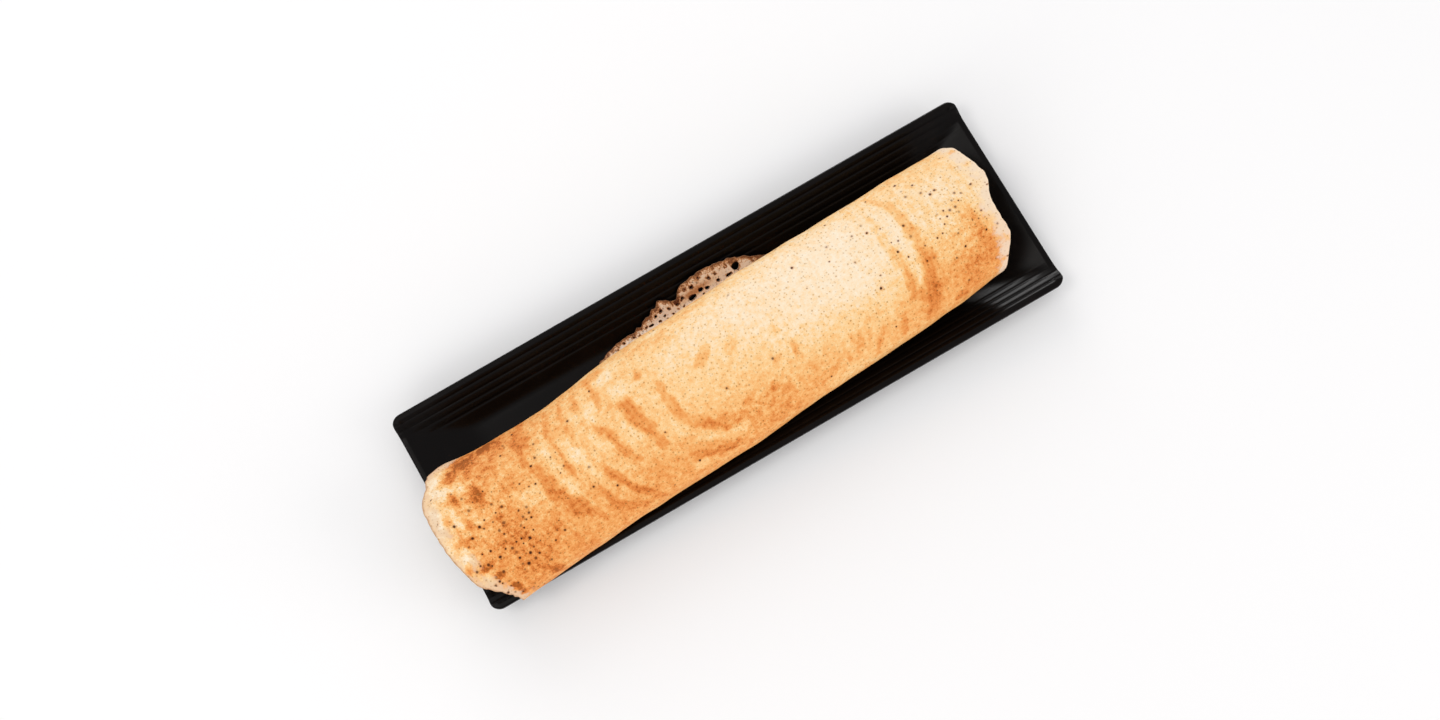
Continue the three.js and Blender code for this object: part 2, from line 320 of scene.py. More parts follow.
def makePlatter():
    p = platter
    xs = platterLines(p["length"], p["endWallRun"], p["footEndInset"], p["plainStep"])
    ys = platterLines(p["width"], p["longWallRun"], p["footSideInset"], p["groovedStep"])
    gridX, gridY = np.meshgrid(xs, ys, indexing="ij")
    fromEnd = p["length"] / 2 - np.abs(gridX)
    fromLong = p["width"] / 2 - np.abs(gridY)
    x, y = roundCorner(gridX, gridY)
    top = platterTopAt(fromLong, fromEnd, True) - lipRounding(np.minimum(fromEnd, fromLong))
    under = platterUnderside(gridX, gridY, fromLong, fromEnd)
    upper = np.stack([x, y, top], -1).reshape(-1, 3)
    lower = np.stack([x, y, under], -1).reshape(-1, 3)
    points = np.concatenate([upper, lower]) + dishPlace
    quads = quadsOf(len(xs), len(ys))
    rim = rimOf(len(xs), len(ys))
    after = np.roll(rim, -1)
    count = len(upper)
    wall = np.stack([rim, rim + count, after + count, after], 1)
    faces = np.concatenate([quads, quads[:, ::-1] + count, wall])
    piece = makePiece("platterBody", points, faces.tolist(), [blackMelamine()], sharp=p["sharpAngle"])
    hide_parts("plate")
    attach(piece, "root")
    print("platter made")


# The crepe, a disc before it is rolled. Bumps and notches of its edge: degrees anticlockwise from
# the right end, how far it spreads, and how much it adds to the radius.
crepe = {
    "radius": 184.0,
    "thickness": 1.8,
    "edgeThickness": 0.9,
    "flapThickness": 0.7,
    "layerGap": 1.0,
    "clearance": 0.45,
    "wallClearance": 1.2,
    "lipClearance": 0.7,
    "drape": 0.6,
    "edgeBumps": [
        (4, 22, 3.5), (0.5, 3.2, 4.5), (-7.5, 2.6, 3), (-3.5, 2.2, 2.3), (5.5, 2.5, -0.8), (13, 2.8, 2.8),
        (78, 14, 8.5), (88.1, 1.3, -4.5), (90.5, 1.6, 1.8), (97, 2.5, -1.2), (102, 3, 1.3), (160, 6, -8),
        (167, 2, 1.2), (173, 8.5, 1.8), (180, 28, -4), (187, 2.8, -4.2), (197, 6.5, -25),
    ],
    "waveHeight": 1.3,
    "waveReach": 26.0,
    "waveLength": 31.0,
    "secondWaveLength": 17.0,
    "dents": 0.35,
    "dentLength": 34,
    "smallDentLength": 15,
    "edgeTaper": 9.0,
    # beyond this place across the disc the crepe thins to the flap
    "flapFrom": 164.0,
    "flapBlend": 10.0,
    # small nibbles along the crisp edge, deeper along its lacy stretches: angle, reach, share
    "edgeNibbles": 0.55,
    "laceNibbles": 1.25,
    "nibbleLength": 7.0,
    "smallNibbleLength": 3.2,
    "lacyStretches": [(90, 24, 1.0), (159, 6, 0.8), (-165, 5, 0.6)],
    # steps across the disc between the given places on its middle line
    "steps": [(-110, 22), (-50, 26), (90, 86), (150, 22), (184, 42)],
    "stepsAlong": 238,
    "crowding": 0.28,
}

# The roll: its middle line, and its half width, half height and sideways shift at stations evenly
# spaced along it, from the left end to the right.
roll = {
    "middleX": -14.0,
    "middleY": -13.0,
    "turn": np.radians(3.68),
    "firstStation": -190.0,
    "stationStep": 47.5,
    "halfWidth": [51.1, 44.1, 42.2, 44, 44.6, 44.2, 43.2, 42.3, 40.7],
    "halfHeight": [25, 25.2, 25.6, 26, 26.4, 26.4, 26, 25.4, 25],
    "shift": [3.7, 0.5, -0.2, 1.5, 0.9, 1.7, 0.5, 0.4, -0.1],
    "lowerPower": 2.5,
    "discMiddleAngle": -0.32,
    "inwardPerRadian": 0.8,
    # the section that the length of the winding is measured on
    "meanHalfWidth": 44.0,
    "meanHalfHeight": 26.0,
    "windingStart": -2.6 * np.pi,
    "windingSteps": 2401,
}

# The filled middle of the roll, with rounded ends. Beyond it the rolled ends are empty.
filling = {"halfLength": 94.0, "domeLength": 20.0, "stations": 32, "domeSteps": 14, "around": 80}


# how low the crepe may lie, a little clear of the floor and more so of the walls and the lip
def restingHeight(x, y):
    fromLong = platter["width"] / 2 - np.abs(y) - crepe["wallClearance"]
    top = platterTopAt(fromLong, platter["length"] / 2 - np.abs(x), False)
    rise = (top - platter["floorTop"]) / (platter["height"] - platter["floorTop"])
    return top + crepe["clearance"] + rise * crepe["lipClearance"]


# a value between evenly spaced stations along the roll, on a smooth curve through them
def alongRoll(values, u):
    values = np.asarray(values, float)
    t = np.clip((u - roll["firstStation"]) / roll["stationStep"], 0, len(values) - 1.001)
    i = np.floor(t).astype(int)
    f = t - i
    a, b, c, d = (values[np.clip(i + k, 0, len(values) - 1)] for k in (-1, 0, 1, 2))
    return b + 0.5 * f * (c - a + f * (2 * a - 5 * b + 4 * c - d + f * (3 * (b - c) + d - a)))


# a point of the roll's oval section: the angle is zero on top and grows to the near side
def ovalPoint(angle, halfWidth, halfHeight):
    power = 2 / roll["lowerPower"]
    sine, cosine = np.sin(angle), np.cos(angle)
    lower = cosine < 0
    across = np.where(lower, np.sign(sine) * np.abs(sine) ** power, sine)
    up = np.where(lower, -np.abs(cosine) ** power, cosine)
    return -halfWidth * across, halfHeight * up


# how far the wound crepe lies inside its outer turn: it slips in under itself down the far side
def windingInset(angle):
    slip = smoothStep((-np.pi / 2 - angle) / (np.pi / 2))
    inward = np.maximum(-np.pi - angle, 0) * roll["inwardPerRadian"]
    return slip * (crepe["thickness"] + crepe["layerGap"]) + inward


# arc length round the wound section against angle, from the disc's middle line
windingAngle = np.linspace(roll["windingStart"], np.pi, roll["windingSteps"])
windingHalves = [roll[half] - windingInset(windingAngle) for half in ("meanHalfWidth", "meanHalfHeight")]
windingAcross, windingUp = ovalPoint(windingAngle, *windingHalves)
windingArc = np.concatenate([[0], np.cumsum(np.hypot(np.diff(windingAcross), np.diff(windingUp)))])
windingArc -= windingArc[np.argmax(windingAngle >= roll["discMiddleAngle"])]
arcAtBottom = windingArc[-1]


# from along and across the roll, and a height above its middle, to the platter's directions
def rollPoint(u, across, up):
    side = across + alongRoll(roll["shift"], u)
    middleHeight = platter["floorTop"] + crepe["clearance"] + alongRoll(roll["halfHeight"], u)
    x = roll["middleX"] + u * np.cos(roll["turn"]) - side * np.sin(roll["turn"])
    y = roll["middleY"] + u * np.sin(roll["turn"]) + side * np.cos(roll["turn"])
    return np.stack(np.broadcast_arrays(x, y, middleHeight + up), -1)


# where a point of the oval lands, raised clear of the platter by as much as the outer turn needs
def restingPoint(u, angle, inset, beyondBottom):
    halfWidth = alongRoll(roll["halfWidth"], u)
    halfHeight = alongRoll(roll["halfHeight"], u)
    outerAcross, outerUp = ovalPoint(angle, halfWidth, halfHeight)
    across, up = ovalPoint(angle, halfWidth - inset, halfHeight - inset)
    touch = rollPoint(u, outerAcross + beyondBottom, outerUp)
    lowest = restingHeight(touch[..., 0], touch[..., 1])
    point = rollPoint(u, across + beyondBottom, up)
    point[..., 2] += softMax(lowest, touch[..., 2], crepe["drape"]) - touch[..., 2]
    return point


# the outer face of the rolled crepe, from a place on the flat disc
def outerFace(u, v):
    angle = np.interp(np.minimum(v, arcAtBottom), windingArc, windingAngle)
    return restingPoint(u, angle, windingInset(angle), np.maximum(v - arcAtBottom, 0))


# slow, even unevenness between -1 and 1 over the disc, the same on every run
def ripples(u, v, length, seed):
    chance = np.random.default_rng(seed)
    total = 0
    for _ in range(7):  # waves, each of its own direction and length
        way = chance.uniform(0, 2 * np.pi)
        pace = 2 * np.pi / (length * chance.uniform(0.7, 1.5))
        total = total + np.sin((u * np.cos(way) + v * np.sin(way)) * pace + chance.uniform(0, 2 * np.pi))
    return np.clip(total / 3.2, -1, 1)


# the disc's radius at angles round its middle
def discRadius(angle):
    c, degrees = crepe, np.degrees(angle)
    radius = np.full(np.shape(angle), c["radius"])
    for at, spread, adds in c["edgeBumps"]:
        away = np.mod(degrees - at + 180, 360) - 180
        radius = radius + adds * np.exp(-((away / spread) ** 2))
    lacy = 0
    for at, reach, share in c["lacyStretches"]:
        lacy = lacy + share * np.exp(-(((degrees - at) / reach) ** 2))
    around = angle * c["radius"]
    nibble = 0.6 * ripples(around, 0 * around, c["nibbleLength"], 3)
    nibble = nibble + 0.4 * ripples(around, 0 * around, c["smallNibbleLength"], 4)
    depth = c["edgeNibbles"] + lacy * c["laceNibbles"]
    return radius - depth * (0.5 + 0.5 * nibble)


# the crisp edge curls in by a few waves
def edgeCurl(u, v, radius):
    fade = smoothStep(1 - (radius - np.hypot(u, v)) / crepe["waveReach"])
    around = np.arctan2(v, u) * radius
    wave = np.sin(around / crepe["waveLength"]) + np.sin(around / crepe["secondWaveLength"] + 1)
    return crepe["waveHeight"] * fade * (1 + wave / 2)


# the two faces of the crepe at places on the flat disc
def crepeFaces(u, v, radius):
    c = crepe
    step = 0.4  # to either side, for the slope
    along = outerFace(u + step, v) - outerFace(u - step, v)
    across = outerFace(u, v + step) - outerFace(u, v - step)
    inward = np.cross(along, across)
    inward /= np.linalg.norm(inward, axis=-1, keepdims=True)
    dent = 1 + 0.6 * ripples(u, v, c["dentLength"], 8) + 0.4 * ripples(u, v, c["smallDentLength"], 9)
    sunk = edgeCurl(u, v, radius) + c["dents"] * dent
    outer = outerFace(u, v) + inward * sunk[..., None]
    full = smoothStep((radius - np.hypot(u, v)) / c["edgeTaper"])
    thickness = c["edgeThickness"] + (c["thickness"] - c["edgeThickness"]) * full
    flap = smoothStep((v - c["flapFrom"]) / c["flapBlend"])
    thickness = thickness + (c["flapThickness"] - thickness) * flap
    return outer, outer + inward * thickness[..., None]


# Browning, in millimetres and degrees on the flat disc. Each stroke follows the batter as it was
# spread: radius and angle from start to end, width, strength.
browning = {
    "strokes": [
        (114, 116.5, 198, 183, 9.5, 0.6), (116, 112.8, 182, 172, 7, 0.72),
        (112.8, 110.5, 171, 160, 10, 0.76), (110.5, 107.5, 159, 154, 7.5, 0.62),
        (99, 97.3, 198, 178, 5, 0.52), (97.3, 98, 177, 171, 5.5, 0.9), (96.3, 97.5, 162, 152, 6, 0.52),
        (97.5, 95, 151, 141, 7, 0.45), (84.5, 85.5, 162, 147, 6.5, 0.72), (85.5, 86, 146, 136, 6.5, 0.54),
        (72, 70, 178, 166, 6.5, 0.76), (70.3, 71, 165, 154, 5.5, 0.8), (52.3, 53, 176, 159, 9.5, 1.1),
        (53.5, 55.5, 158, 146, 6.5, 0.95), (59, 58.5, 127, 103, 7, 0.58), (70.5, 69.5, 129, 118, 5.5, 0.45),
        (30, 38, 168, 142, 7.5, 0.8), (38, 43, 141, 115, 8.5, 0.66), (43.3, 42, 114, 93, 9.5, 0.46),
        (68, 66, 204, 186, 4.5, 0.68), (79, 77, 202, 181, 4, 0.55), (88, 88, 196, 178, 4.5, 0.55),
        (45, 28, 208, 240, 6, 0.34), (28, 31, 240, 296, 5, 0.3), (59, 60, 70, 60, 8, 0.35),
        (131.5, 135.5, -12, -6, 5.5, 0.62), (136, 138, -5, 8, 8.5, 0.86), (137.5, 138, 8, 16, 10, 0.9),
        (136.5, 134, 16, 25, 10.5, 0.84), (122, 121, -6, 4, 5, 0.55), (121.5, 123.5, 6, 11, 6, 0.9),
        (124, 126, 13, 19, 7.5, 1.05), (118, 118.5, 24, 30, 5, 0.65), (105, 104, 27, 35, 4.5, 0.65),
        (91, 90, 27, 34, 4.5, 0.45), (103, 103, -4, 12, 4.5, 0.25), (118, 117, -17, -12, 5, 0.35),
    ],
    # patches: place, length, width, tilt, strength
    "patches": [
        (-38, -10, 10, 5, -35, 0.75), (-1.5, 3.5, 13, 7, -28, 0.88), (-9.5, -3.5, 7, 4.5, 30, 0.5),
        (15, 7, 10, 9, 0, 0.5), (-15, -19, 26, 9, 0, 0.3), (-11.5, -18.5, 6, 4, 0, 0.45),
        (-64, -14, 4, 8, 20, 0.5), (-59, -3, 4, 7, 30, 0.5), (-47.5, -2, 7, 3, 0, 0.4),
        (-60, -29, 16, 8, 0, 0.75), (41.5, 14, 4, 8, 10, 0.6), (44.5, 29, 5, 10, 15, 0.75),
        (33, 29.5, 8, 4, -45, 0.5), (8, 38, 9, 5, -10, 0.45), (23, 39, 6, 6, 0, 0.55),
        (29.5, 46, 8, 7, 0, 0.6), (17, 57.5, 12, 7, 0, 0.3), (30, 60, 9, 6, 0, 0.5),
        (4, 50, 9, 7, 20, 0.36), (12, 46, 20, 9, 5, 0.2), (67.5, 52, 4, 5, 0, 0.6), (58, 53, 9, 6, 0, 0.35),
        (75, 42, 3.5, 7, 0, 0.4), (72, 23, 9, 7, 0, 0.2), (84, 28, 9, 8, 0, 0.2), (49, 56, 9, 5, 0, 0.3),
        (-147, -27, 12, 8, -35, 0.72), (-141, -31, 34, 10, -8, 0.42), (-126, -30, 22, 12, 0, 0.32),
        (-133, -32.5, 11, 6, -15, 1), (-157, -21, 12, 6, -40, 0.85), (-146, -20, 14, 5, -50, 0.5),
        (-162.5, -5, 7, 11, 5, 0.95), (-150, -1, 8, 13, 10, 0.92), (-161.5, 10, 4, 11, 0, 0.76),
        (-170, 3, 5, 5, 0, 0.5), (-163, 3, 5, 6, 0, 0.5), (-170, 17.5, 8, 6, 10, 0.8),
        (-165, 18, 7, 5, 0, 0.6), (-175, 31, 4, 6, 0, 0.7), (-166.5, 35, 8, 4.5, -20, 0.75),
        (-162, 42.5, 5, 5, 0, 1), (-158, 54, 4, 8, -10, 1.15), (-157, 61, 6, 4, 0, 0.7),
        (-134.5, 60, 7, 8, 30, 0.75), (-139.5, 55, 12, 4, 45, 0.45), (-144, 18, 7, 10, 0, 0.55),
        (-143, 32, 18, 14, 0, 0.42), (-152, 27, 10, 10, 0, 0.4), (-132, 3, 13, 6, 10, 0.45),
        (-136, -12, 9, 6, 30, 0.45), (-122, 36, 16, 9, 0, 0.3), (143, 60, 9, 6, 0, 0.6),
        (161, 47, 12, 8, 0, 0.25), (184, -25, 4, 5, 0, 0.55), (179, -12, 4, 4, 0, 0.45),
        (187, -10, 4, 5, 0, 0.4),
    ],
    # paler places between them: place, length, width, tilt, strength
    "palePatches": [
        (-165, -25, 18, 8, -40, 0.34), (-167, -13, 13, 9, 0, 0.34), (-155.5, -11, 8, 7, 0, 0.3),
        (-176, 1, 7, 16, 0, 0.3), (-166, 5, 5, 11, 0, 0.22), (-173, 27, 10, 8, 0, 0.32),
        (-170, 41, 9, 6, 40, 0.26), (-124, 14, 13, 11, 20, 0.15), (-103, 22, 8, 12, -20, 0.2),
        (-105, 2, 6, 24, 0, 0.12), (-90, 7, 8, 22, 0, 0.15), (-87, 24, 6, 14, -25, 0.12),
        (-75, -8, 12, 12, 0, 0.14), (-77, 10, 8, 14, 0, 0.12), (-54, -21, 15, 10, 0, 0.16),
        (-51, -6, 13, 10, 0, 0.14), (-18, -29, 14, 4, 0, 0.2), (-21, 45, 14, 7, 35, 0.22),
        (-6, 50, 16, 7, 0, 0.24), (-34, 57, 12, 7, 20, 0.2), (-58, 18, 9, 16, 0, 0.12),
        (-35, 30, 9, 12, -30, 0.12), (166, -2, 24, 22, 0, 0.06), (128.5, 30, 5, 26, 12, 0.16),
        (129, 4, 7, 22, 0, 0.08),
    ],
    # rings that carry on round the sides of the roll: radius, width, strength
    "rings": [
        (60, 5, 0.4), (74, 5, 0.5), (90, 4, 0.45), (101, 5, 0.6), (117, 6, 0.6), (133, 7, 0.6),
        (150, 5, 0.4),
    ],
    # where they start to either side of a line along the disc, and over what width
    "ringsFrom": 58.0,
    "ringsMiddle": 16.0,
    "ringsBlend": 14.0,
    # how far strokes and patches waver, and over what length
    "waver": 1.1,
    "waverLength": 24,
    "smallWaver": 0.5,
    "smallWaverLength": 9,
    # the general colour from 0 pale to 1 brown: at the roll's stations, and what its sides tend to
    "levelAlong": [0.35, 0.58, 0.48, 0.42, 0.35, 0.21, 0.12, 0.28, 0.3],
    "nearLevel": 0.73,
    "nearShare": 0.75,
    "nearReach": 50.0,
    "farLevel": 0.64,
    "farShare": 0.5,
    "farReach": 36.0,
    "plainTop": 8.0,
    # places that differ from that: place, reach along and across, how much they add
    "zones": [
        (-140, -28, 34, 15, 0.18), (-152, 35, 26, 30, 0.1), (5, 52, 40, 12, 0.05), (160, 42, 18, 20, 0.16),
        (171, 30, 4.5, 24, 0.2), (-55, -30, 16, 10, -0.1), (136, 30, 10, 24, 0.04), (18, 14, 18, 18, 0.05),
        (0, -9, 26, 16, -0.12), (28, -14, 14, 22, -0.07), (60, -20, 22, 16, -0.05), (70, 61, 28, 8, -0.12),
    ],
    "colours": [
        (0.0, (252, 237, 212)), (0.18, (252, 227, 190)), (0.36, (251, 210, 150)), (0.52, (248, 189, 119)),
        (0.66, (241, 166, 92)), (0.8, (230, 142, 69)), (0.9, (209, 115, 46)), (1.0, (166, 88, 28)),
    ],
    # how broken up it is: everywhere, more to the left, and more in places
    "calm": 0.85,
    "busier": 0.15,
    "busierFrom": 10,
    "busierBlend": 80,
    "mottled": [(-160, 8, 32, 50, 0.6), (160, 25, 20, 30, 0.4), (12, 50, 32, 15, 0.3)],
    "innerColours": [
        (0.0, (253, 238, 220)), (0.3, (248, 220, 186)), (0.6, (210, 152, 102)), (1.0, (94, 48, 24)),
    ],
    "innerPoreColour": (168, 118, 76),
    "edgeColour": (243, 222, 197),
    # the pale edge's colour at the left end, darker: painted shade
    "leftEdgeShadedColour": (234, 204, 170),
    "edgeReach": 14.0,
    "rightEdgeReach": 13.0,
    "innerRimReach": 8.0,
    # how pale the edge is, how much more so at the right end, and how far that end spreads
    "edgePallor": 0.84,
    "rightEdgePallor": 0.16,
    "rightEndSpread": 0.55,
    "holeRim": 0.97,
    # the sear is a thin line that grows toward the left end
    "searReach": 1.6,
    "searBlend": 60,
    "rimColour": (186, 138, 100),
    # the dark pores: how dense they are, and where they are denser: place, reach, how much
    "plainPores": 0.285,
    "pores": [(-150, 30, 24, 0.95), (-122, 0, 26, 0.26), (118, 5, 22, 0.18), (156, 8, 25, 0.42)],
    "poreColour": (172, 122, 58),
    "haloColour": (200, 118, 50),
    "scorchColour": (74, 34, 8),
}


# 1 in the middle of an oval patch, fading to 0 past its edge
def patchShare(u, v, middleU, middleV, length, width, tilt):
    soft = 0.65  # how wide its edge is
    turn = np.radians(tilt)
    along = (u - middleU) * np.cos(turn) + (v - middleV) * np.sin(turn)
    across = (v - middleV) * np.cos(turn) - (u - middleU) * np.sin(turn)
    away = np.hypot(along / (length / 2), across / (width / 2))
    return 1 - smoothStep((away - 1 + soft) / (2 * soft))


# 1 at a place on the disc, falling off smoothly around it
def falloff(u, v, u0, v0, reachU, reachV):
    return np.exp(-(((u - u0) / reachU) ** 2) - (((v - v0) / reachV) ** 2))


# 1 along the middle of a stroke, fading to 0 past its sides and its ends
def strokeShare(u, v, stroke):
    startRadius, endRadius, startAngle, endAngle, width, strength = stroke
    solid, soft = 0.22, 0.55  # the shares of its width that are full and that fade
    radius = np.hypot(u, v)
    middle = (startAngle + endAngle) / 2
    degrees = np.mod(np.degrees(np.arctan2(v, u)) - middle + 180, 360) - 180 + middle
    share = np.clip((degrees - startAngle) / (endAngle - startAngle), 0, 1)
    past = np.abs(degrees - startAngle - share * (endAngle - startAngle)) * np.pi / 180 * radius
    # uneven along its length, and thinner at both ends
    along = share * (endAngle - startAngle) * np.pi / 180 * radius
    uneven = ripples(along, 0 * along, 15, int(startRadius * 10))
    taper = (0.7 + 0.3 * np.sin(np.pi * np.clip(share, 0.06, 0.94))) * (1 + 0.25 * uneven)
    offset = (radius - startRadius - share * (endRadius - startRadius)) / (width * taper)
    away = np.hypot(offset, past / (1.3 * width))
    return strength * (0.88 + 0.12 * uneven) * (1 - smoothStep((away - solid) / soft))


# the strokes, patches and rings, and the general colour under them, at places on the disc
def browningAt(u, v):
    b = browning
    shiftedU = u + b["waver"] * ripples(u, v, b["waverLength"], 21)
    shiftedU = shiftedU + b["smallWaver"] * ripples(u, v, b["smallWaverLength"], 22)
    shiftedV = v + b["waver"] * ripples(u, v, b["waverLength"], 23)
    shiftedV = shiftedV + b["smallWaver"] * ripples(u, v, b["smallWaverLength"], 24)
    strokes = np.zeros(np.shape(u))
    for stroke in b["strokes"]:
        strokes = np.maximum(strokes, strokeShare(shiftedU, shiftedV, stroke))
    for u0, v0, length, width, tilt, strength in b["patches"]:
        strokes = np.maximum(strokes, strength * patchShare(shiftedU, shiftedV, u0, v0, length, width, tilt))
    radius = np.hypot(shiftedU, shiftedV)
    onSides = smoothStep((np.abs(v - b["ringsMiddle"]) - b["ringsFrom"]) / b["ringsBlend"])
    for ringRadius, width, strength in b["rings"]:
        broken = 0.55 + 0.45 * ripples(np.degrees(np.arctan2(v, u)), radius * 0.2, 38, int(ringRadius))
        ring = np.exp(-(((radius - ringRadius) / (width * 0.6)) ** 2))
        strokes = np.maximum(strokes, onSides * strength * broken * ring)
    level = alongRoll(b["levelAlong"], u)
    nearShare = b["nearShare"] * smoothStep((v - b["plainTop"]) / b["nearReach"])
    farShare = b["farShare"] * smoothStep((-v - b["plainTop"]) / b["farReach"])
    level = level + nearShare * (b["nearLevel"] - level) + farShare * (b["farLevel"] - level)
    for u0, v0, reachU, reachV, adds in b["zones"]:
        level = level + adds * falloff(u, v, u0, v0, reachU, reachV)
    for u0, v0, length, width, tilt, strength in b["palePatches"]:
        level = level - strength * patchShare(shiftedU, shiftedV, u0, v0, length, width, tilt)
    return np.clip(strokes, 0, 1.5), np.clip(level, -0.2, 1)


# how densely the dark pores lie, at places on the disc
def poresAt(u, v):
    dense = np.full(np.shape(u), browning["plainPores"])
    for u0, v0, reach, adds in browning["pores"]:
        dense = dense + adds * np.exp(-(((u - u0) ** 2 + (v - v0) ** 2) / reach**2))
    return np.clip(dense, 0, 1)


# how broken up the browning is, at places on the disc
def busyAt(u, v):
    b = browning
    busy = b["calm"] + b["busier"] * smoothStep((-u - b["busierFrom"]) / b["busierBlend"])
    for u0, v0, reachU, reachV, adds in b["mottled"]:
        busy = busy + adds * falloff(u, v, u0, v0, reachU, reachV)
    return busy


# The patterns of the crepe's two sides: how fine they are, per millimetre of the disc, how much each
# adds to the browning, how strongly each paint shows, and the relief, roughness and shine.
patterns = {
    "grain": 1.1,
    "mottle": 0.3,
    "cloud": 0.075,
    "streak": 1.0,
    "grainAdds": 0.5,
    "mottleAdds": 0.8,
    "cloudAdds": 0.32,
    "streakAdds": 0.25,
    "strokeAdds": 0.33,
    "finePores": 0.42,
    "largePores": 0.26,
    "innerGrain": 1.2,
    "innerPores": 0.5,
    "deepPores": 0.4,
    "edgeShows": 0.8,
    "searShows": 0.7,
    "poreShows": 0.55,
    "haloShows": 0.5,
    "scorchShows": 1.3,
    "innerPoreShows": 0.45,
    "relief": 0.0003,
    "innerRelief": 0.0004,
    "roughness": 0.54,
    "innerRoughness": 0.62,
    "shine": 0.12,
    "innerShine": 0.35,
    # streaks round the disc's middle: how close they lie across, and how short they are around
    "streakAcross": 0.45,
    "streakAround": 5,
    # the inner face and the filling cut the patterns at other depths than the outer face
    "innerDepth": 60,
    "fillingDepth": 200,
}


def crepeOutside():
    f, p, b = Finish("crepeOutside"), patterns, browning
    where = f.painted("discPlace", "Vector")
    names = ("strokes", "level", "pores", "rim", "sear", "busy")
    strokes, level, pores, rim, sear, busy = [f.painted(name) for name in names]
    grain = f.noise(where, p["grain"], 3.0, 0.65) - 0.5
    mottle = f.noise(where, p["mottle"], 5.0, 0.65) - 0.5
    cloud = f.noise(where, p["cloud"], 3.0, 0.5) - 0.5
    streak = f.noise(f.painted("ringPlace", "Vector"), p["streak"], 4.0, 0.6) - 0.5

    # the general colour, broken up less under the strokes, and the strokes with ragged sides
    ragged = f.ease(strokes + 0.7 * mottle + 0.4 * grain, -0.05, 0.42)
    brush = strokes * ragged * (1 + 0.8 * mottle + 0.5 * streak)
    broken = p["cloudAdds"] * cloud + p["mottleAdds"] * mottle + p["grainAdds"] * grain
    toast = level + busy * (1 - 0.45 * strokes) * broken
    toast = toast + p["streakAdds"] * streak + p["strokeAdds"] * brush

    # pores: fine ones all over, and large ones with a browned halo where they are dense
    fine = f.dots(where, p["finePores"], 0.32, 0.5 + 0.3 * pores)
    manyLarge = pores * 0.75 - 0.2
    large = f.dots(where, p["largePores"], 0.22 + 0.15 * pores, manyLarge)
    halo = f.dots(where, p["largePores"], 0.5 + 0.16 * pores, manyLarge)

    # the pale dry edge, seared along its very rim, with painted shade darkening it towards the left end
    torn = (2.0 * cloud + 1.2 * mottle) * f.ease(rim, 0.0, 0.25)
    edge = f.ease(rim + torn - 0.8 * strokes, 0.25, 0.85)
    # towards the left end the pale edge takes the darker colour: painted shade
    side = f.ease(f.node("ShaderNodeSeparateXYZ", None, {0: where}), -60.0, 60.0)
    edgeToneWithShade = f.blend(side, paint(*b["leftEdgeShadedColour"]), paint(*b["edgeColour"]))

    colour = f.ramp(toast + 0.12 * fine, rampOf(b["colours"]))
    colour = f.blend(edge * p["edgeShows"], colour, edgeToneWithShade)
    colour = f.blend(f.ease(sear + mottle, 0.3, 0.9) * p["searShows"], colour, paint(*b["rimColour"]))
    colour = f.blend(fine * p["poreShows"], colour, paint(*b["poreColour"]))
    colour = f.blend(halo * p["haloShows"], colour, paint(*b["haloColour"]))
    colour = f.blend(large * p["scorchShows"], colour, paint(*b["scorchColour"]))
    rough = p["roughness"] + 0.2 * mottle + 0.1 * brush
    normal = f.relief(mottle + grain - 0.7 * fine - 0.7 * large, p["relief"], 0.8)
    return f.surface(colour, rough, p["shine"], normal)


def crepeInside():
    f, p, b = Finish("crepeInside"), patterns, browning
    where = f.painted("discPlace", "Vector")
    rim = f.painted("rim")
    # on the inner face the strokes values are the band beside the roll: partly toasting, partly painted
    # shadow
    toastAndRollShadow = f.painted("strokes")
    grain = f.noise(where, p["innerGrain"], 3.0, 0.6) - 0.5
    mottle = f.noise(where, p["mottle"], 4.0, 0.6) - 0.5
    crisp = f.ease(rim + 0.9 * mottle + 0.4 * grain, 0.5, 0.95)
    toast = 0.02 + 0.5 * mottle + 0.3 * grain + 0.85 * crisp + 0.7 * toastAndRollShadow
    fine = f.dots(where, p["innerPores"], 0.3, 0.75)
    deep = f.dots(where, p["deepPores"], 0.34, 0.45)
    colour = f.ramp(toast, rampOf(b["innerColours"]))
    colour = f.blend(fine * p["innerPoreShows"], colour, paint(*b["innerPoreColour"]))
    colour = f.blend(deep * (0.4 + 0.6 * rim), colour, paint(*b["scorchColour"]))
    height = 0.5 * mottle + 0.4 * grain - 1.2 * fine - 0.6 * deep
    normal = f.relief(height, p["innerRelief"], 0.8)
    return f.surface(colour, p["innerRoughness"], p["innerShine"], normal)


# places across the disc's middle line, as shares of its radius from -1 to 1
def discColumns():
    columns, start = [-1.0], -crepe["radius"]
    for upTo, steps in crepe["steps"]:
        columns += list((start + (upTo - start) * np.arange(1, steps + 1) / steps) / crepe["radius"])
        start = upTo
    return np.array(columns)


